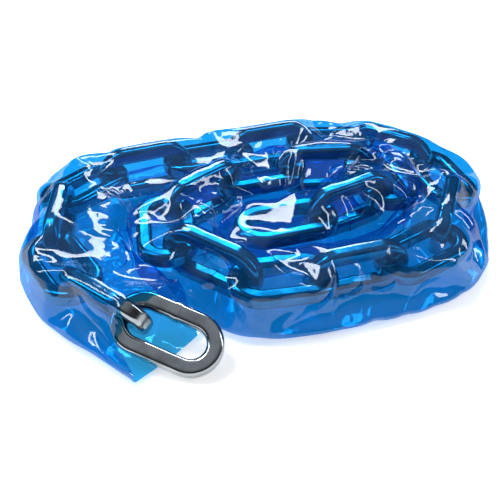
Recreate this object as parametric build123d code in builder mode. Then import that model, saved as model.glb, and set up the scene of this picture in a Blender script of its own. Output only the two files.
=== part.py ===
"""A square-section security chain inside a loose vinyl sleeve, coiled flat in an oval spiral.

Every link is one welded ring of rounded square bar. The links stand on edge and lie flat in
turn, each one threaded through the two beside it. The sleeve around them is a tube of film, laid
as a square with round corners. Its last stretch, the tail, lies in front on the left, and the
end link comes out of its mouth.

Frame: +Z up, the floor at Z = 0, +X along the rows, +Y to the back, millimetres. The origin is
on the floor, under the middle of the finished part.
"""

import os
from math import cos, pi, sin, sqrt

from build123d import *

# Link, a closed ring of rounded square bar
BAR = 8.0
BAR_ROUND = 2.5
EYE_LENGTH = 38.0
EYE_WIDTH = 14.0
WELD_PROUD = 0.4
WELD_WIDTH = 3.0

# How the links hang in each other
PLAY = 0.6
END_SLACK = 3.0
OUTWARD_PLAY = 1.6

# Sleeve
SLEEVE_WALL = 1.0
LINK_TO_SLEEVE = 2.0
SLEEVE_CORNER = 10.0
TAIL_SPREAD = 2.0
TAIL_CORNER = 11.0

# Spiral, places of the sleeve's centre line
LEFT_SIDE = -107.0
RIGHT_SIDE = 107.0
INNER_LEFT = -52.0
HAIRPIN_REST = 4.0
INNER_RISE = 8.0
RAMP_START = 20.0
ROW_CLEARANCE = 0.3
ROUND_TO_ROUND = 1.0
RAMP_RADIUS = 400.0
LEFT_RADIUS = 50.0
KNEE_RADIUS = 78.0
KNEE = (LEFT_SIDE, -17.0)
TAIL_AIM = (-70.5, -73.2)
INNER_END = 2.0

# Links counted each way from the flat link in the hairpin
LINKS_TO_MOUTH = 18
LINKS_TO_END = 2

# Loose end
MOUTH_YAW = 18.0
LEAN = 24.0
END_YAW = 10.0
MOUTH_SETBACK = 9.0
LIP_LENGTH = 18.0
TAIL_TUBE_END = 4.0
MAIN_TUBE_START = 6.0

# Fineness of the searches that seat the links
HALVINGS = 40
FAR_TRY = 1.8
RIM_POINTS = 72
STEEPEST_DIP = 40.0
SMALL_TURN = 5.0

# Worked out
link_width = EYE_WIDTH + 2 * BAR
link_length = EYE_LENGTH + 2 * BAR
eye_spacing = EYE_LENGTH - EYE_WIDTH
bar_circle = (EYE_WIDTH + BAR) / 2
hook_gap = EYE_WIDTH - PLAY
loose_gap = EYE_WIDTH - END_SLACK
flat_to_flat = 2 * hook_gap + eye_spacing
sleeve_inner = link_width + 2 * LINK_TO_SLEEVE
sleeve_outer = sleeve_inner + 2 * SLEEVE_WALL
floor_level = sleeve_outer / 2
raised_level = floor_level + INNER_RISE
inner_row = floor_level + HAIRPIN_REST
row_step = sleeve_outer + ROW_CLEARANCE
outer_row = inner_row + row_step
hairpin_apex = RIGHT_SIDE - row_step
UP = Vector(0, 0, 1)

os.makedirs("parts", exist_ok=True)


# Route of the sleeve's centre line, from the mouth inwards, always turning clockwise
with BuildLine() as route:
    FilletPolyline(
        (*TAIL_AIM, floor_level),
        (*KNEE, floor_level),
        (LEFT_SIDE, outer_row, floor_level),
        (RIGHT_SIDE, outer_row, floor_level),
        (RIGHT_SIDE, -outer_row, floor_level),
        (RAMP_START, -outer_row, floor_level),
        (INNER_LEFT, -outer_row, raised_level),
        (INNER_LEFT, inner_row, raised_level),
        (hairpin_apex, inner_row, raised_level),
        (hairpin_apex, -inner_row, raised_level),
        (INNER_END, -inner_row, raised_level),
        radius=[
            KNEE_RADIUS,
            LEFT_RADIUS,
            outer_row - ROUND_TO_ROUND / 2,
            outer_row - ROUND_TO_ROUND / 2,
            RAMP_RADIUS,
            (outer_row + inner_row - ROUND_TO_ROUND) / 2,
            (outer_row + inner_row - ROUND_TO_ROUND) / 2,
            inner_row - ROUND_TO_ROUND / 2,
            inner_row - ROUND_TO_ROUND / 2,
        ],
    )
path = route.wire()


def on_chain(station):
    """Point of the chain at a length along the route: the links lean on the outer wall."""
    point = path.position_at(station, position_mode=PositionMode.LENGTH)
    heading = path.tangent_at(station, position_mode=PositionMode.LENGTH)
    return point + UP.cross(heading).normalized() * OUTWARD_PLAY


def step_along(station, point, chord, sense):
    """Length along the route where the chain is a straight chord away from a point."""
    near, far = station, station + sense * FAR_TRY * chord
    for _ in range(HALVINGS):
        middle = (near + far) / 2
        if (on_chain(middle) - point).length < chord:
            near = middle
        else:
            far = middle
    return near


def flattened(direction, normal):
    """Unit direction with its share along a normal taken out."""
    return (direction - normal * direction.dot(normal)).normalized()


class Link:
    """Place of one link: its two eye centres and the normal of its plane."""

    def __init__(self, first, second, normal):
        self.first = first
        self.second = second
        self.normal = normal
        self.along = (second - first).normalized()
        self.plane = Plane(origin=(first + second) / 2, x_dir=self.along, z_dir=normal)


def upright_link(flat, target):
    """Link on edge, hooked in the far eye of a flat link and aimed at a point."""
    reach = flattened(target - flat.second, flat.normal)
    side = reach.cross(flat.normal)
    first = flat.second + reach * hook_gap
    along = flattened(target - first, side)
    return Link(first, first + along * eye_spacing, side)


def flat_link(upright, beyond):
    """Flat link hooked in the far eye of an upright one and aimed at a point."""
    reach = flattened(beyond - upright.second, upright.normal)
    normal = reach.cross(upright.normal)
    if normal.Z < 0:
        normal = -normal
    first = upright.second + reach * hook_gap
    along = flattened(beyond - first, normal)
    return Link(first, first + along * eye_spacing, normal)


def chain_from(start, station, sense, count):
    """Links that follow a flat link along the route, upright and flat in turn."""
    links = []
    flat = start
    while len(links) < count:
        station = step_along(station, flat.second, flat_to_flat, sense)
        target = on_chain(station)
        upright = upright_link(flat, target)
        station_beyond = step_along(station, target, eye_spacing, sense)
        flat = flat_link(upright, on_chain(station_beyond))
        links += [upright, flat]
        station = station_beyond
    return links[:count]


# The flat link in the hairpin, square across the two inner rows
hairpin_radius = inner_row - ROUND_TO_ROUND / 2
hairpin_centre = hairpin_apex - hairpin_radius
half_eyes = eye_spacing / 2
apex_half = half_eyes - ROUND_TO_ROUND / 2
apex_x = hairpin_centre + sqrt((hairpin_radius + OUTWARD_PLAY) ** 2 - apex_half**2)
apex_back = Vector(apex_x, half_eyes, raised_level)
apex_front = Vector(apex_x, -half_eyes, raised_level)
row_three = hairpin_apex - hairpin_radius - INNER_END
apex_station = path.length - row_three - pi / 2 * hairpin_radius

to_mouth = chain_from(Link(apex_front, apex_back, UP), apex_station - half_eyes, -1, LINKS_TO_MOUTH)
to_end = chain_from(Link(apex_back, apex_front, UP), apex_station + half_eyes, 1, LINKS_TO_END)

# Second link, on edge in the mouth: turned, and leaning to the front
hold = to_mouth[-1]
reach = hold.along.rotate(Axis((0, 0, 0), hold.normal), MOUTH_YAW)
side = reach.cross(hold.normal).rotate(Axis((0, 0, 0), reach), LEAN)
second_first = hold.second + reach * loose_gap
second = Link(second_first, second_first + reach * eye_spacing, side)


def end_link_at(pitch):
    """End link, hooked in the second link and dipped towards the floor."""
    dipped = second.along.rotate(Axis((0, 0, 0), second.normal), pitch)
    normal = second.normal.cross(dipped)
    if normal.Z < 0:
        normal = -normal
    first = second.second + dipped * loose_gap
    along = dipped.rotate(Axis((0, 0, 0), normal), END_YAW)
    return Link(first, first + along * eye_spacing, normal)


def lowest_point(link):
    """Lowest height of the ring, from its bar's circle at both ends and its section."""
    across = link.normal.cross(link.along)
    heights = []
    for eye in (link.first, link.second):
        for point in range(RIM_POINTS):
            turn = 2 * pi * point / RIM_POINTS
            outward = link.along * cos(turn) + across * sin(turn)
            flats = (BAR / 2 - BAR_ROUND) * (abs(outward.Z) + abs(link.normal.Z))
            heights.append((eye + outward * bar_circle).Z - flats - BAR_ROUND)
    return min(heights)


turned_on, turned_back = end_link_at(SMALL_TURN), end_link_at(-SMALL_TURN)
dip_sense = 1 if turned_on.second.Z < turned_back.second.Z else -1
end_dip, too_steep = 0.0, STEEPEST_DIP
for _ in range(HALVINGS):
    trial = (end_dip + too_steep) / 2
    if lowest_point(end_link_at(dip_sense * trial)) > 0:
        end_dip = trial
    else:
        too_steep = trial
end_link = end_link_at(dip_sense * end_dip)

chain = [end_link, second] + to_mouth[::-1] + [Link(apex_front, apex_back, UP)] + to_end


def link_ring(place):
    """One link: a slot-shaped ring of rounded square bar, with a butt weld on one leg."""
    across = place.normal.cross(place.along)
    weld_centre = (place.first + place.second) / 2 + across * bar_circle * inner_leg(place, across)
    with BuildPart() as ring:
        with BuildSketch(place.plane):
            SlotCenterToCenter(eye_spacing, link_width)
            SlotCenterToCenter(eye_spacing, EYE_WIDTH, mode=Mode.SUBTRACT)
        extrude(amount=BAR / 2, both=True)
        fillet(ring.edges(), BAR_ROUND)
        with BuildSketch(Plane(origin=weld_centre, x_dir=across, z_dir=place.along)):
            RectangleRounded(BAR + 2 * WELD_PROUD, BAR + 2 * WELD_PROUD, BAR_ROUND + WELD_PROUD)
        extrude(amount=WELD_WIDTH / 2, both=True)
    return ring


def inner_leg(place, across):
    """Side of the leg that faces the middle of the pile, where the sleeve leaves more room."""
    inwards = Vector(0, 0, floor_level) - (place.first + place.second) / 2
    return 1 if across.dot(inwards) > 0 else -1


def station_at(point):
    """Length along the route nearest to a point."""
    steps = range(int(path.length))
    return min(steps, key=lambda step: (on_chain(step) - point).length)


def stretch(start, finish):
    """The part of the route between two lengths along it."""
    return path.trim(start / path.length, finish / path.length)


# Sleeve, the coiled stretch
main_start = station_at(chain[4].second) - MAIN_TUBE_START
main_line = stretch(main_start, path.length)
with BuildPart() as sleeve_main:
    with BuildLine():
        add(main_line)
    with BuildSketch(Plane(origin=main_line @ 0, x_dir=UP.cross(main_line % 0), z_dir=main_line % 0)):
        RectangleRounded(sleeve_outer, sleeve_outer, SLEEVE_CORNER)
        RectangleRounded(sleeve_inner, sleeve_inner, SLEEVE_CORNER - SLEEVE_WALL, mode=Mode.SUBTRACT)
    sweep(path=main_line)

# Sleeve, the tail: a wider stretch with a slanting cut at its mouth and a long lower lip
mouth_station = station_at(second.second) + MOUTH_SETBACK - LIP_LENGTH
tail_end = station_at(chain[3].second) - TAIL_TUBE_END
tail_line = stretch(mouth_station, tail_end)
with BuildPart() as sleeve_tail:
    with BuildLine():
        add(tail_line)
    with BuildSketch(Plane(origin=tail_line @ 0, x_dir=UP.cross(tail_line % 0), z_dir=tail_line % 0)):
        RectangleRounded(sleeve_outer + TAIL_SPREAD, sleeve_outer, TAIL_CORNER)
        RectangleRounded(
            sleeve_inner + TAIL_SPREAD, sleeve_inner, TAIL_CORNER - SLEEVE_WALL, mode=Mode.SUBTRACT
        )
    sweep(path=tail_line)
    inward = (tail_line % 0).normalized()
    lip_foot = tail_line @ 0 - UP * floor_level
    cut_rise = inward * LIP_LENGTH + UP * sleeve_outer
    cut_normal = cut_rise.cross(UP.cross(inward))
    if cut_normal.dot(inward) < 0:
        cut_normal = -cut_normal
    split(bisect_by=Plane(origin=lip_foot, z_dir=cut_normal), keep=Keep.TOP)

pieces = {"sleeve_main": sleeve_main.part, "sleeve_tail": sleeve_tail.part}
for number, place in enumerate(chain, start=1):
    pieces[f"link_{number:02d}"] = link_ring(place).part

# Stand the origin under the middle of the whole box
whole = Compound(children=[piece.moved(Location()) for piece in pieces.values()]).bounding_box()
to_middle = Vector(-whole.center().X, -whole.center().Y, 0)
for name, piece in pieces.items():
    placed = piece.moved(Location(to_middle))
    placed.label = name
    export_step(placed, f"parts/{name}.step")

print("box", whole.size, "lowest", whole.min.Z, "dip of the end link", end_dip)
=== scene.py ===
"""A steel security chain heaped in its clear blue vinyl sleeve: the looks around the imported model.

The links stay as the frame gives them and take a bright plated steel. The sleeve is one tube of film, laid
round the links, crumpled by a cloth simulation and cut where it crosses the two folding joints of the tail.
"""

import math

import bpy
import numpy as np
from bpy.props import FloatProperty, FloatVectorProperty, IntProperty, PointerProperty
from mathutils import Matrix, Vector
from mathutils.kdtree import KDTree


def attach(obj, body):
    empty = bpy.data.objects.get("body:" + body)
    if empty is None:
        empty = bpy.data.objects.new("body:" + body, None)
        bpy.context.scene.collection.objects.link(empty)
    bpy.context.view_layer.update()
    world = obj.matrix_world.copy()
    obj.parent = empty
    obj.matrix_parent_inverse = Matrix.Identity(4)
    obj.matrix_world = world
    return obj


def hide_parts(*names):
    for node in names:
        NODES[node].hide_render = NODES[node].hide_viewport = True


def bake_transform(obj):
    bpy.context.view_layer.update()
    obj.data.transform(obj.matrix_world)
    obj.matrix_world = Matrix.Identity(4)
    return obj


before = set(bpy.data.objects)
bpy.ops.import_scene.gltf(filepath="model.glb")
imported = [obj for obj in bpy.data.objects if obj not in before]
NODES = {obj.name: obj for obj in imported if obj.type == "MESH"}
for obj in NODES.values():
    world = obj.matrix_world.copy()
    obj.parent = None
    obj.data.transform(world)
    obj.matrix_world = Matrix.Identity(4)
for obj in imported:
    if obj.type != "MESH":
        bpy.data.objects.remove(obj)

bl_info = {
    "name": "Sleeved security chain",
    "version": (1, 0, 0),
    "blender": (4, 5, 0),
    "location": "View3D > Sidebar > Chain",
    "description": "Finishes the links and makes the film sleeve and the studio of a sleeved security chain",
    "category": "Object",
}

MM = 0.001
LINKS = sorted(name for name in NODES if name.startswith("link_"))
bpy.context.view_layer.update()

# The links, which the frame's meshes show
EYE_HALF = 12 * MM  # from a link's middle to the centre of either round end
RING_HALF = 11 * MM  # from a link's middle to the middle of its side bar
BAR_RADIUS = 4.4 * MM  # a circle as roomy as the rounded square bar
FIRST_SLEEVED = 2

# The film on its way to its place
ROW_STEP = 2.2 * MM  # between the rings of the grid that the solver gets
LAID_CORNER = 10 * MM  # corner radius of the tube before it crumples
LAID_GAP = 1.2 * MM  # from a bar to the film before it crumples
FILM_GAP = 0.5 * MM  # from a bar to the crumpled film
LAID_FLOOR_GAP, FLOOR_GAP = 0.6 * MM, 0.4 * MM  # from the floor to the film, before and after
WAVE_HEIGHT = 0.6 * MM
LIP_ROOT = 45 * MM  # how far inside the mouth the lip begins
NO_TURN = 1.0  # stands for the distance to another turn of the sleeve, in metres, where there is none
NEAR_TURN = 120 * MM

# The cloth solver keeps contacts to a tenth of a millimetre only in a model ten times life size
SIM_SCALE = 10

GROUND = np.array([[(-3, -3, 0), (-3, 3, 0)], [(3, -3, 0), (3, 3, 0)]], float)


# ---------------------------------------------------------------- small helpers


def colour(hex_value):
    """sRGB hex to linear: c/12.92 up to 0.04045, and ((c + 0.055)/1.055)^2.4 above."""
    channels = [int(hex_value[i : i + 2], 16) / 255 for i in (1, 3, 5)]
    return tuple(c / 12.92 if c <= 0.04045 else ((c + 0.055) / 1.055) ** 2.4 for c in channels) + (1.0,)


def read(items, field, width):
    """One field of a mesh's vertices or faces as an array of floats."""
    values = np.empty(len(items) * width, np.float32)
    items.foreach_get(field, values)
    return values.reshape(-1, width).astype(float)


def unit(vectors):
    """Vectors divided by their lengths."""
    return vectors / np.linalg.norm(vectors, axis=-1, keepdims=True)


def lengths_along(points):
    """Length from the first point of a line to each of its points."""
    return np.concatenate([[0], np.cumsum(np.linalg.norm(np.diff(points, axis=0), axis=1))])


def at_lengths(places, length, values):
    """Each column of values, given at lengths, read at other places by straight interpolation."""
    return np.stack([np.interp(places, length, values[:, k]) for k in range(values.shape[1])], axis=-1)


def blurred(values, reach):
    """Columns of values averaged along their length with Gaussian weights of width reach, in samples. The ends are
    shortened by 4 reach."""
    offsets = np.arange(-4 * reach, 4 * reach + 1)
    weights = np.exp(-0.5 * (offsets / reach) ** 2)
    return np.stack([np.convolve(column, weights / weights.sum(), "valid") for column in values.T], axis=1)


def grid_mesh(name, points, closed_round=True):
    """Quads over a grid of points, rows along the piece and columns round it, faces outwards."""
    rows, columns = points.shape[:2]
    index = np.arange(rows * columns).reshape(rows, columns)
    beside = np.roll(index, -1, axis=1)
    last = columns if closed_round else columns - 1
    quads = np.stack([index[:-1, :last], index[1:, :last], beside[1:, :last], beside[:-1, :last]], axis=-1)
    mesh = bpy.data.meshes.new(name)
    mesh.from_pydata(points.reshape(-1, 3).tolist(), [], quads.reshape(-1, 4).tolist())
    mesh.update()
    return mesh


def add_object(name, data):
    """A new object in the scene."""
    made = bpy.data.objects.new(name, data)
    bpy.context.scene.collection.objects.link(made)
    return made


def add_node(tree, kind, settings=None, **inputs):
    """Adds a shader node, and sets or links its inputs. An input is named with _ for a space, or i0, i1 by its
    place."""
    made = tree.nodes.new(kind)
    for name, value in (settings or {}).items():
        setattr(made, name, value)
    for name, value in inputs.items():
        by_place = name[0] == "i" and name[1:].isdigit()
        socket = made.inputs[int(name[1:])] if by_place else made.inputs[name.replace("_", " ")]
        if isinstance(value, bpy.types.NodeSocket):
            tree.links.new(value, socket)
        else:
            socket.default_value = value
    return made


def new_material(name):
    """A node material with nothing in it, and its tree."""
    material = bpy.data.materials.new(name)
    material.use_nodes = True
    material.node_tree.nodes.clear()
    return material, material.node_tree


# ---------------------------------------------------------------- where the chain runs


def link_axes(name):
    """Middle, long axis and cross axis of a link: the mean of its faces, and the two directions in which it spreads
    widest."""
    mesh = NODES[name].data
    centres, areas = read(mesh.polygons, "center", 3), read(mesh.polygons, "area", 1)
    middle = (areas * centres).sum(0) / areas.sum()
    spread = centres - middle
    _, axes = np.linalg.eigh((areas * spread).T @ spread)
    return middle, axes[:, 2], axes[:, 1]


def chain_links(first=1):
    """Middles, long axes pointing away from the mouth, and cross axes of the links. The end link is the first."""
    found = [link_axes(name) for name in LINKS[first - 1 :]]
    middles, longs, crosses = (np.array([f[k] for f in found]) for k in range(3))
    longs *= np.sign((longs * np.gradient(middles, axis=0)).sum(1, keepdims=True))
    return middles, longs, crosses


def bar_ring(middle, long, cross, count):
    """Points on the middle line of a link's bar: two straight sides joined by half circles of radius RING_HALF."""
    straight, arc = 2 * EYE_HALF, math.pi * RING_HALF
    along_ring = np.arange(count) / count * 2 * (straight + arc)
    half = np.where(along_ring < straight + arc, 1.0, -1.0)
    along_ring = along_ring % (straight + arc)
    turn = np.clip(along_ring - straight, 0, arc) / RING_HALF
    ahead = np.where(along_ring < straight, along_ring - EYE_HALF, EYE_HALF + RING_HALF * np.sin(turn))
    return middle + np.outer(half * ahead, long) - np.outer(half * RING_HALF * np.cos(turn), cross)


def stand_in_link(middle, long, cross):
    """A coarse link for the film to lie on: circles of radius BAR_RADIUS carried round the middle line of its bar."""
    ring = bar_ring(middle, long, cross, 40)
    ahead = unit(np.roll(ring, -1, axis=0) - np.roll(ring, 1, axis=0))
    thin = np.cross(long, cross)
    turn = np.linspace(0, 2 * np.pi, 10, endpoint=False)[:, None]
    circle = BAR_RADIUS * (np.cos(turn) * np.cross(ahead, thin)[:, None] + np.sin(turn) * thin)
    points = ring[:, None] + circle
    return np.concatenate([points, points[:1]])


def sleeve_line(past_mouth, past_end):
    """The sleeve's middle line, every millimetre, in from the mouth. It runs through both eyes of each link, carries
    on by past_mouth and past_end, is smoothed by a Gaussian 10 mm wide, and is moved sideways to the links."""
    step, reach = 1 * MM, 10
    middles, longs, _ = chain_links(FIRST_SLEEVED)
    eyes = np.stack([middles - EYE_HALF * longs, middles + EYE_HALF * longs], axis=1).reshape(-1, 3)
    out = unit((eyes[0] - eyes[1]) * (1, 1, 0))
    spare = 4 * reach * step
    first = eyes[0] + (past_mouth + spare) * out
    last = eyes[-1] + (past_end + spare) * unit(eyes[-1] - eyes[-2])
    corners = np.concatenate([[first], eyes, [last]])
    length = lengths_along(corners)
    line = blurred(at_lengths(np.arange(0, length[-1], step), length, corners), reach)
    _, side, _, _ = directions(line)
    nearest = ((middles[:, None] - line) ** 2).sum(-1).argmin(1)
    aside = ((middles - line[nearest]) * side[nearest]).sum(1)
    aside = np.pad(np.interp(np.arange(len(line)), nearest, aside), 4 * reach, mode="edge")[:, None]
    return line + side * blurred(aside, reach)


def directions(line):
    """Unit vectors ahead, to the level side and above at each point of a line, and how sharply it bends in plan, in
    1/m."""
    ahead = unit(np.gradient(line, axis=0))
    side = unit(np.cross(ahead, (0, 0, 1)))
    step = np.linalg.norm(np.diff(line, axis=0), axis=1).mean()
    return ahead, side, np.cross(side, ahead), np.abs((np.gradient(ahead, axis=0) * side).sum(1)) / step


# ---------------------------------------------------------------- the film sleeve


def rounded_square(width, height, corner, shares):
    """Points at shares of the outline of a rectangle with quarter-circle corners, from the middle of one side
    upwards."""
    arcs = []
    for quarter, (x, y) in enumerate(((1, 1), (-1, 1), (-1, -1), (1, -1))):
        turn = np.linspace(quarter, quarter + 1, 9) * np.pi / 2
        across = x * (width / 2 - corner) + corner * np.cos(turn)
        up = y * (height / 2 - corner) + corner * np.sin(turn)
        arcs.append(np.stack([across, up], 1))
    outline = np.concatenate([[(width / 2, 0)], *arcs, [(width / 2, 0)]])
    length = lengths_along(outline)
    return at_lengths(shares * length[-1], length, outline)


def bar_tree():
    """A search tree over the middle lines of all the links' bars, and their points."""
    rings = np.concatenate([bar_ring(*link, 60) for link in zip(*chain_links())])
    tree = KDTree(len(rings))
    for number, point in enumerate(rings):
        tree.insert(point, number)
    tree.balance()
    return tree, rings


def pushed_clear(points, gap, outward=None):
    """Points nearer than gap to the middle of a bar, moved off it: along outward, or straight away from the bar."""
    tree, rings = bar_tree()
    for _ in range(4):
        found = [tree.find(point) for point in points.reshape(-1, 3)]
        distance = np.array([f[2] for f in found]).reshape(points.shape[:2])
        away = outward
        if outward is None:
            away = unit(points - rings[[f[1] for f in found]].reshape(points.shape))
        points = points + np.clip(gap - distance, 0, None)[..., None] * away
    return points


def slow_waves(around, along, seed, count=14):
    """A seeded sum of sine waves over the film, 20 to 60 mm long, with whole turns round the tube."""
    pick = np.random.default_rng(seed)
    turns, pitch = pick.integers(-4, 5, count), pick.uniform(20 * MM, 60 * MM, count)
    weight, phase = pick.uniform(0.3, 1, count), pick.uniform(0, 2 * np.pi, count)
    draws = zip(turns, pitch, weight, phase)
    return np.sum([w * np.sin(t * around + along * 2 * np.pi / p + f) for t, p, w, f in draws], axis=0)


def room_beside(centre, side, width, most):
    """How far each ring may widen to either side, as two columns: half the gap to the nearest other turn of the
    sleeve on that side up to twice most, and most where there is none."""
    apart = centre[None] - centre[:, None]
    distance = np.linalg.norm(apart[..., :2], axis=-1)
    number = np.arange(len(centre))
    other_turn = np.abs(number[:, None] - number) * ROW_STEP > 2 * width
    sideways = (apart * side[:, None]).sum(-1)
    beside = [other_turn & (sign * sideways > 0.5 * distance) for sign in (1, -1)]
    near = np.stack([np.where(there, distance, NO_TURN).min(1) for there in beside], axis=1)
    room = np.clip((near - width) / 2, 0, np.where(near < NEAR_TURN, 2 * most, most))
    return blurred(np.pad(room, ((40, 40), (0, 0)), mode="edge"), 10)


def laid_tube(settings):
    """The film before it crumples, as a grid: rounded squares carried along the sleeve's line, widened where there
    is room beside them. Rings are spaced by the outer wall's length in a bend, which film keeps, so that the inner
    wall has too much. Under the mouth a lip runs out. Also returns the same grid as the tube lies when it is empty
    and flat, with two sharp folds, and the line through the rings' middles."""
    line = sleeve_line(settings.past_mouth, settings.past_end)
    ahead, side, above, bend = directions(line)
    half = settings.laid_width / 2
    step = np.linalg.norm(np.diff(line, axis=0), axis=1)
    film = np.concatenate([[0], np.cumsum(step * (1 + (bend[1:] + bend[:-1]) / 2 * half))])
    rows, columns = round(film[-1] / ROW_STEP), settings.columns
    along = np.linspace(0, film[-1], rows)
    shares = np.arange(columns) / columns
    section = rounded_square(settings.laid_width, settings.laid_height, LAID_CORNER, shares)
    centre, ahead, side, above = (at_lengths(along, film, v) for v in (line, ahead, side, above))
    room = room_beside(centre, side, settings.laid_width + 1 * MM, settings.spread)
    across, up = section.T
    aside = across + np.clip(across / half, 0, 1) * room[:, :1] + np.clip(across / half, -1, 0) * room[:, 1:]
    ring = aside[..., None] * side[:, None] + up[None, :, None] * above[:, None]
    under = np.clip(-1.6 * np.sin(2 * np.pi * shares), 0, 1)
    lip = settings.lip * np.clip(1 - along / LIP_ROOT, 0, 1)[:, None] * under**2 * (3 - 2 * under)
    points = centre[:, None] + ring - lip[..., None] * ahead[:, None]
    waves = slow_waves(2 * np.pi * shares[None], along[:, None], settings.seed)
    points = pushed_clear(points, BAR_RADIUS + LAID_GAP, unit(ring))
    points = points + unit(ring) * (np.abs(waves) * WAVE_HEIGHT)[..., None]
    points[..., 2] = np.maximum(points[..., 2], LAID_FLOOR_GAP)
    width = settings.flat_width
    across = width * np.where(shares < 0.5, 0.5 - 2 * shares, 2 * shares - 1.5)
    lift = np.where(shares < 0.5, 1.0, -1.0) * np.where(shares % 0.5 == 0, 0, 0.8 * MM)
    flat = np.stack(np.broadcast_arrays(across[None], lift[None], along[:, None] - lip), axis=-1)
    return points, flat, centre


def crumpled(points, flat, settings):
    """The film after it has sagged onto the links and the floor: Blender's Cloth on the laid tube, with the
    springs' lengths and fold angles of the flat one. Stiff in its plane, and stiff to bend, so it buckles into
    facets."""
    film = add_object("Film in the solver", grid_mesh("Film in the solver", points * SIM_SCALE))
    film.shape_key_add(name="Laid")
    lying_flat = film.shape_key_add(name="Flat tube")
    lying_flat.data.foreach_set("co", (flat * SIM_SCALE).astype(np.float32).ravel())
    lying_flat.value = 0
    links = [grid_mesh("Stand-in link", stand_in_link(*link) * SIM_SCALE) for link in zip(*chain_links())]
    ground = grid_mesh("Stand-in floor", GROUND, False)
    solids = [add_object(mesh.name, mesh) for mesh in [*links, ground]]
    for solid in solids:
        solid.modifiers.new("Collision", "COLLISION")
        solid.collision.thickness_outer, solid.collision.thickness_inner = 0.002, 0.02
        solid.collision.cloth_friction = 5
    cloth = film.modifiers.new("Cloth", "CLOTH")
    film_springs, contact = cloth.settings, cloth.collision_settings
    film_springs.quality, film_springs.mass = 6, 0.3
    film_springs.tension_stiffness = film_springs.compression_stiffness = film_springs.shear_stiffness = 40
    film_springs.bending_model, film_springs.bending_stiffness = "ANGULAR", settings.stiffness
    film_springs.rest_shape_key = lying_flat
    contact.distance_min, contact.self_distance_min = 0.010, 0.005
    contact.use_self_collision, contact.self_friction = True, 5
    cloth.point_cache.frame_end = settings.frames
    for number in range(1, settings.frames + 1):
        bpy.context.scene.frame_set(number)
    result = film.evaluated_get(bpy.context.evaluated_depsgraph_get()).data
    sagged = read(result.vertices, "co", 3).reshape(points.shape) / SIM_SCALE
    bpy.context.scene.frame_set(1)
    for spent in [film, *solids]:
        mesh = spent.data
        bpy.data.objects.remove(spent)
        bpy.data.meshes.remove(mesh)
    return sagged


def eased(points):
    """The grid with half of each point's place taken from the mean of its four neighbours. Its ends stay."""
    inner = np.roll(points, 1, 1)[1:-1] + np.roll(points, -1, 1)[1:-1] + points[:-2] + points[2:]
    return np.concatenate([points[:1], points[1:-1] / 2 + inner / 8, points[-1:]])


def doubled(points):
    """The grid with a point added between each two, round the tube and along, by the four-point rule
    (-1, 9, 9, -1)/16."""
    beside = [np.roll(points, -k, axis=1) for k in (-1, 0, 1, 2)]
    between = (9 * (beside[1] + beside[2]) - beside[0] - beside[3]) / 16
    points = np.stack([points, between], axis=2).reshape(len(points), -1, 3)
    ends = np.concatenate([2 * points[:1] - points[1:2], points, 2 * points[-1:] - points[-2:-1]])
    between = (9 * (ends[1:-2] + ends[2:-1]) - ends[:-3] - ends[3:]) / 16
    woven = np.empty((2 * len(points) - 1, *points.shape[1:]))
    woven[::2], woven[1::2] = points, between
    return woven


def sharpness(points, normals):
    """How much the film turns at each point, from 0 when flat to 1 when folded: the largest of one minus the cosine
    of the angle between its normal and its four neighbours' normals."""
    padded = np.concatenate([normals[:1], normals, normals[-1:]])
    near = [np.roll(normals, 1, 1), np.roll(normals, -1, 1), padded[:-2], padded[2:]]
    return np.clip(np.max([1 - (normals * other).sum(-1) for other in near], axis=0), 0, 1)


def grid_normals(points):
    """Outward normals of a tube's grid: the cross product of its differences along and round."""
    around = np.roll(points, -1, axis=1) - np.roll(points, 1, axis=1)
    normals = np.cross(np.gradient(points, axis=0), around)
    return normals / np.maximum(np.linalg.norm(normals, axis=-1, keepdims=True), 1e-12)


def film_piece(name, points, normals, crease, flat, rows, material):
    """One length of the sleeve, from one row of the grid to another. Its flat place is its UV, and its creases are
    marked."""
    part = slice(rows[0], rows[1] + 1)
    mesh = grid_mesh(name, points[part])
    mesh.polygons.foreach_set("use_smooth", np.ones(len(mesh.polygons), bool))
    mesh.normals_split_custom_set_from_vertices(normals[part].reshape(-1, 3).tolist())
    corner = np.empty(len(mesh.loops), int)
    mesh.loops.foreach_get("vertex_index", corner)
    layer = mesh.uv_layers.new(name="Film")
    layer.data.foreach_set("uv", flat[part].reshape(-1, 2)[corner].astype(np.float32).ravel())
    marked = mesh.attributes.new("crease", "FLOAT", "POINT")
    marked.data.foreach_set("value", crease[part].ravel().astype(np.float32))
    mesh.materials.append(material)
    return add_object(name, mesh)


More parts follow.
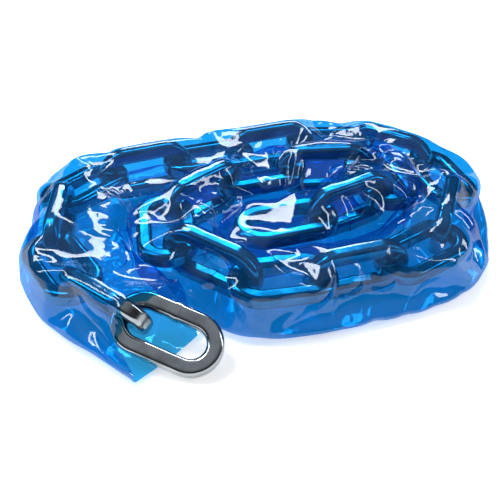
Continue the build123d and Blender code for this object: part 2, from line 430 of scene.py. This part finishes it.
def make_sleeve(settings):
    """Lays, crumples and refines the film, cuts it at the links beside the folding joints, and hands the mouth and
    coil lengths to the bodies that they ride on; the two lengths between stay where they lie, unattached."""
    points, flat, centre = laid_tube(settings)
    points = crumpled(points, flat, settings)
    points = pushed_clear(eased(points), BAR_RADIUS + FILM_GAP)
    points[..., 2] = np.maximum(points[..., 2], FLOOR_GAP)
    points = doubled(points)
    normals = grid_normals(points)
    crease = sharpness(points, normals)
    rows, columns = points.shape[:2]
    around = np.arange(columns) / columns * 2 * settings.flat_width
    along = np.repeat(flat[:, 0, 2], 2)[:rows]
    plan = np.stack(np.broadcast_arrays(around[None], along[:, None]), axis=-1)

    middles, longs, _ = chain_links()
    at_link = [2 * int(((middle - centre) ** 2).sum(1).argmin()) for middle in middles[2:5]]
    cuts = [0, *at_link, rows - 1]
    names = ["Sleeve mouth", "Sleeve lift fold", "Sleeve swing fold", "Sleeve coil"]
    material = film_material(settings)
    lengths = [
        film_piece(name.replace(" ", "_"), points, normals, crease, plan, span, material)
        for name, span in zip(names, zip(cuts[:-1], cuts[1:]))
    ]
    mouth, lift, swing, coil = lengths
    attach(mouth, "tail")
    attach(coil, "sleeve")
    for piece, link, bodies in ((lift, 4, ("tail", "link_04")), (swing, 5, ("link_04", "sleeve"))):
        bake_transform(piece)
    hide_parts("sleeve_tail")
    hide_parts("sleeve_main")


# ---------------------------------------------------------------- materials


def film_material(settings):
    """Soft PVC film: blown as a tube, clear, glossy and dyed blue. Light passes through it coloured, its skin
    mirrors lamps, the dye's haze keeps shadows blue, and sharp creases turn white: partly the stress-whitening of
    creased vinyl, partly a painted highlight that stands in for the glints along the ridges."""
    material, tree = new_material("Clear blue soft PVC film")
    place = add_node(tree, "ShaderNodeTexCoord").outputs["Object"]
    drawn = add_node(tree, "ShaderNodeUVMap", {"uv_map": "Film"}).outputs["UV"]
    # die lines of the blown tube run along it, about 2 mm apart and 60 mm long
    stretched = add_node(tree, "ShaderNodeMapping", Vector=drawn, Scale=(1 / (2 * MM), 1 / (60 * MM), 1))
    lines = add_node(tree, "ShaderNodeTexNoise", Vector=stretched.outputs["Vector"], Scale=1.0, Detail=2.0)
    # soft dents from packing, 12 mm across
    dents = add_node(tree, "ShaderNodeTexNoise", Vector=place, Scale=1 / (12 * MM), Detail=2.0)
    fine = add_node(tree, "ShaderNodeBump", Strength=0.4, Distance=0.05 * MM, Height=lines.outputs["Fac"])
    bump = add_node(tree, "ShaderNodeBump", Strength=0.5, Distance=0.7 * MM, Height=dents.outputs["Fac"],
                    Normal=fine.outputs["Normal"])
    through = add_node(tree, "ShaderNodeBsdfTransparent", Color=(*settings.tint, 1.0))
    haze = add_node(tree, "ShaderNodeBsdfDiffuse", Color=(*settings.haze, 1.0), Normal=bump.outputs["Normal"])
    body = add_node(tree, "ShaderNodeMixShader", Fac=settings.haze_share,
                    i1=through.outputs["BSDF"], i2=haze.outputs["BSDF"])
    # white on sharp creases: partly the stress-whitening of creased vinyl, partly a painted highlight that stands in
    # for the glints along the ridges
    blush_and_painted_highlight = add_node(tree, "ShaderNodeBsdfDiffuse", Color=colour("#cfe2f6"), Normal=bump.outputs["Normal"])
    crease = add_node(tree, "ShaderNodeAttribute", {"attribute_name": "crease"})
    white = add_node(tree, "ShaderNodeMapRange", Value=crease.outputs["Fac"],
                     From_Min=0.09, From_Max=0.4, To_Min=0.0, To_Max=0.55)
    folded = add_node(tree, "ShaderNodeMixShader", Fac=white.outputs["Result"],
                      i1=body.outputs["Shader"], i2=blush_and_painted_highlight.outputs["BSDF"])
    skin = add_node(tree, "ShaderNodeBsdfGlossy", Color=colour("#eef4ff"), Roughness=0.07,
                    Normal=bump.outputs["Normal"])
    mirror = add_node(tree, "ShaderNodeFresnel", IOR=1.53, Normal=bump.outputs["Normal"])
    # the mirror is kept weak at grazing angles, where a whole heap of film would turn grey
    weak = add_node(tree, "ShaderNodeMath", {"operation": "MINIMUM"}, i0=mirror.outputs["Fac"], i1=0.12)
    shiny = add_node(tree, "ShaderNodeMixShader", Fac=weak.outputs["Value"],
                     i1=folded.outputs["Shader"], i2=skin.outputs["BSDF"])
    add_node(tree, "ShaderNodeOutputMaterial", Surface=shiny.outputs["Shader"])
    return material


def steel_material(settings):
    """Welded carbon steel chain, tumbled and bright zinc plated: a mirror with long faint waves, fine tumbling
    scuffs that dull it in patches, and a trace of grey where the plating is thin."""
    material, tree = new_material("Bright zinc plated steel")
    place = add_node(tree, "ShaderNodeTexCoord").outputs["Object"]
    # waves left by drawing and bending the bar, 9 mm across
    waves = add_node(tree, "ShaderNodeTexNoise", Vector=place, Scale=1 / (9 * MM), Detail=1.0)
    # tumbling scuffs, 0.6 mm across, which is as fine as shows
    scuffs = add_node(tree, "ShaderNodeTexNoise", Vector=place, Scale=1 / (0.6 * MM), Detail=3.0)
    patches = add_node(tree, "ShaderNodeTexNoise", Vector=place, Scale=1 / (14 * MM), Detail=3.0)
    dulled = add_node(tree, "ShaderNodeMapRange", Value=patches.outputs["Fac"], From_Min=0.35, From_Max=0.7,
                      To_Min=settings.roughness, To_Max=settings.roughness + 0.16)
    thin = add_node(tree, "ShaderNodeMapRange", Value=patches.outputs["Fac"],
                    From_Min=0.45, From_Max=0.75, To_Min=0.0, To_Max=1.0)
    tone = add_node(tree, "ShaderNodeMix", {"data_type": "RGBA"}, i0=thin.outputs["Result"],
                    i6=(*settings.plating, 1.0), i7=colour("#6f767b"))
    fine = add_node(tree, "ShaderNodeBump", Strength=0.25, Distance=0.02 * MM, Height=scuffs.outputs["Fac"])
    bump = add_node(tree, "ShaderNodeBump", Strength=0.4, Distance=0.5 * MM, Height=waves.outputs["Fac"],
                    Normal=fine.outputs["Normal"])
    steel = add_node(tree, "ShaderNodeBsdfPrincipled", Base_Color=tone.outputs[2], Metallic=1.0,
                     Roughness=dulled.outputs["Result"], Normal=bump.outputs["Normal"])
    add_node(tree, "ShaderNodeOutputMaterial", Surface=steel.outputs["BSDF"])
    return material


def paper_material():
    """Matt white background paper, lit from behind so that it stays white under the heap."""
    material, tree = new_material("White background paper")
    place = add_node(tree, "ShaderNodeTexCoord").outputs["Object"]
    # paper's tooth, 1 mm across
    tooth = add_node(tree, "ShaderNodeTexNoise", Vector=place, Scale=1 / (1 * MM), Detail=2.0)
    bump = add_node(tree, "ShaderNodeBump", Strength=0.1, Distance=0.05 * MM, Height=tooth.outputs["Fac"])
    paper = add_node(tree, "ShaderNodeBsdfPrincipled", Base_Color=colour("#f6f6f6"), Roughness=0.9,
                     Specular_IOR_Level=0.1, Emission_Color=colour("#ffffff"), Emission_Strength=0.55,
                     Normal=bump.outputs["Normal"])
    add_node(tree, "ShaderNodeOutputMaterial", Surface=paper.outputs["BSDF"])
    return material


# ---------------------------------------------------------------- the studio


def direction_to(azimuth, elevation):
    """Unit vector towards an azimuth, counted from +Y to +X, and an elevation, both in radians."""
    level = math.cos(elevation)
    return Vector((math.sin(azimuth) * level, math.cos(azimuth) * level, math.sin(elevation)))


def set_towards(made, aim, towards, distance):
    """Places an object at a distance from aim and turns its -Z to it."""
    made.location = aim + distance * towards
    made.rotation_euler = (-towards).to_track_quat("-Z", "Y").to_euler()


def make_studio(settings):
    """Camera, white paper floor, four soft lamps, and a sky that is bright overhead and dark at the horizon."""
    scene = bpy.context.scene
    scene.view_settings.view_transform = "Standard"
    scene.cycles.transparent_max_bounces = 40
    camera = add_object("Camera", bpy.data.cameras.new("Camera"))
    camera.data.lens = settings.lens
    towards = direction_to(settings.azimuth, settings.elevation)
    set_towards(camera, Vector(settings.aim), towards, settings.distance)
    scene.camera = camera
    floor = add_object("Floor", grid_mesh("Floor", GROUND, False))
    floor.data.materials.append(paper_material())
    for name, azimuth, elevation, distance, size, watts in LAMPS:
        lamp = bpy.data.lights.new(name, "AREA")
        lamp.shape, (lamp.size, lamp.size_y), lamp.energy = "RECTANGLE", size, watts * settings.light
        towards = direction_to(math.radians(azimuth), math.radians(elevation))
        set_towards(add_object(name, lamp), Vector(settings.aim), towards, distance)
    world = bpy.data.worlds.new("Studio")
    scene.world, world.use_nodes = world, True
    tree = world.node_tree
    tree.nodes.clear()
    sky = add_node(tree, "ShaderNodeTexCoord").outputs["Generated"]
    height = add_node(tree, "ShaderNodeSeparateXYZ", Vector=sky).outputs["Z"]
    glow = add_node(tree, "ShaderNodeMapRange", Value=height,
                    From_Min=0.45, From_Max=0.95, To_Min=0.05, To_Max=0.45)
    light = add_node(tree, "ShaderNodeBackground", Color=colour("#eef3fb"), Strength=glow.outputs["Result"])
    add_node(tree, "ShaderNodeOutputWorld", Surface=light.outputs["Background"])


# name, azimuth and elevation in degrees, distance and size in metres, watts
LAMPS = (
    ("Back softbox", 17, 42, 0.9, (0.46, 0.28), 5.0),
    ("Left strip", -75, 35, 0.8, (0.08, 0.60), 2.0),
    ("Right strip", 110, 30, 0.8, (0.07, 0.60), 1.6),
    ("Top softbox", -50, 62, 1.0, (0.40, 0.25), 5.0),
)


# ---------------------------------------------------------------- settings, operators and panel


class ChainSteelSettings(bpy.types.PropertyGroup):
    """The links' finish."""

    plating: FloatVectorProperty(
        name="Plating", description="Colour of the plated steel", subtype="COLOR", size=3, min=0, max=1,
        default=colour("#a9afb3")[:3],
    )
    roughness: FloatProperty(
        name="Roughness", description="Roughness where the plating is brightest", subtype="FACTOR",
        min=0, max=1, default=0.1,
    )


class ChainSleeveSettings(bpy.types.PropertyGroup):
    """The film sleeve's size, how it crumples and its colour."""

    flat_width: FloatProperty(
        name="Flat width", description="Width of the empty sleeve lying flat", unit="LENGTH",
        min=0.06, default=73 * MM,
    )
    laid_width: FloatProperty(
        name="Laid width", description="Width of the sleeve before it crumples",
        unit="LENGTH", default=35.2 * MM,
    )
    laid_height: FloatProperty(
        name="Laid height", description="Height of the sleeve before it crumples",
        unit="LENGTH", default=34.8 * MM,
    )
    spread: FloatProperty(
        name="Spread", description="How far the film may lie out to a side that is free",
        unit="LENGTH", default=4 * MM,
    )
    lip: FloatProperty(
        name="Lip", description="How far the lower side of the mouth reaches past the upper side",
        unit="LENGTH", default=15 * MM,
    )
    past_mouth: FloatProperty(
        name="Past the mouth link", description="Film beyond the outer eye of the mouth link",
        unit="LENGTH", default=9 * MM,
    )
    past_end: FloatProperty(
        name="Past the last link", description="Film beyond the last eye inside the coil",
        unit="LENGTH", default=24 * MM,
    )
    columns: IntProperty(
        name="Columns", description="Points round the film in the solver", min=24, default=62
    )
    frames: IntProperty(name="Frames", description="Steps of the cloth solver", min=1, default=30)
    stiffness: FloatProperty(
        name="Stiffness", description="How much the film resists bending", min=0, default=20
    )
    seed: IntProperty(name="Seed", description="Which pattern of creases", default=7)
    tint: FloatVectorProperty(
        name="Tint", description="Colour of light after one layer of film", subtype="COLOR", size=3, min=0, max=1,
        default=colour("#42c0ec")[:3],
    )
    haze: FloatVectorProperty(
        name="Haze", description="Colour that the film itself scatters", subtype="COLOR", size=3, min=0, max=1,
        default=colour("#0878cc")[:3],
    )
    haze_share: FloatProperty(
        name="Haze share", description="Share of the light that the film scatters", subtype="FACTOR",
        min=0, max=1, default=0.14,
    )


class ChainStudioSettings(bpy.types.PropertyGroup):
    """Where the camera stands and how bright the lamps are."""

    lens: FloatProperty(name="Lens", description="Focal length", unit="CAMERA", min=1, default=59.2)
    azimuth: FloatProperty(
        name="Azimuth", description="Where the camera stands, from +Y towards +X", unit="ROTATION",
        default=math.radians(197),
    )
    elevation: FloatProperty(
        name="Elevation", description="How high the camera stands", unit="ROTATION", default=math.radians(38)
    )
    distance: FloatProperty(
        name="Distance", description="From the camera to its aim", unit="LENGTH", default=439.4 * MM
    )
    aim: FloatVectorProperty(
        name="Aim", description="The point the camera looks at", subtype="TRANSLATION", size=3,
        default=(-6 * MM, 0.5 * MM, 0),
    )
    light: FloatProperty(name="Light", description="Strength of all the lamps", min=0, default=1.0)


class CHAIN_OT_finish_links(bpy.types.Operator):
    """Give every link its plated steel"""

    bl_idname = "chain.finish_links"
    bl_label = "Finish links"

    def execute(self, context):
        steel = steel_material(context.scene.chain_steel)
        for name in LINKS:
            for slot in NODES[name].material_slots:
                slot.material = steel
        return {"FINISHED"}


class CHAIN_OT_make_sleeve(bpy.types.Operator):
    """Lay the film sleeve round the links and crumple it"""

    bl_idname = "chain.make_sleeve"
    bl_label = "Make sleeve"

    def execute(self, context):
        make_sleeve(context.scene.chain_sleeve)
        return {"FINISHED"}


class CHAIN_OT_make_studio(bpy.types.Operator):
    """Set up the camera, the paper floor and the lamps"""

    bl_idname = "chain.make_studio"
    bl_label = "Make studio"

    def execute(self, context):
        make_studio(context.scene.chain_studio)
        return {"FINISHED"}


class CHAIN_PT_sleeved_chain(bpy.types.Panel):
    """Settings and steps of the sleeved chain"""

    bl_idname = "CHAIN_PT_sleeved_chain"
    bl_label = "Sleeved chain"
    bl_space_type = "VIEW_3D"
    bl_region_type = "UI"
    bl_category = "Chain"

    def draw(self, context):
        for group, operator in (
            (context.scene.chain_studio, CHAIN_OT_make_studio),
            (context.scene.chain_steel, CHAIN_OT_finish_links),
            (context.scene.chain_sleeve, CHAIN_OT_make_sleeve),
        ):
            box = self.layout.box()
            for name in type(group).__annotations__:
                box.prop(group, name)
            box.operator(operator.bl_idname)


GROUPS = {
    "chain_studio": ChainStudioSettings,
    "chain_steel": ChainSteelSettings,
    "chain_sleeve": ChainSleeveSettings,
}
CLASSES = (
    *GROUPS.values(),
    CHAIN_OT_make_studio,
    CHAIN_OT_finish_links,
    CHAIN_OT_make_sleeve,
    CHAIN_PT_sleeved_chain,
)


def register():
    for made in CLASSES:
        bpy.utils.register_class(made)
    for name, group in GROUPS.items():
        setattr(bpy.types.Scene, name, PointerProperty(type=group))


def unregister():
    for name in GROUPS:
        delattr(bpy.types.Scene, name)
    for made in reversed(CLASSES):
        bpy.utils.unregister_class(made)


def main():
    register()
    bpy.ops.chain.make_studio()
    bpy.ops.chain.finish_links()
    bpy.ops.chain.make_sleeve()


if __name__ == "__main__":
    main()
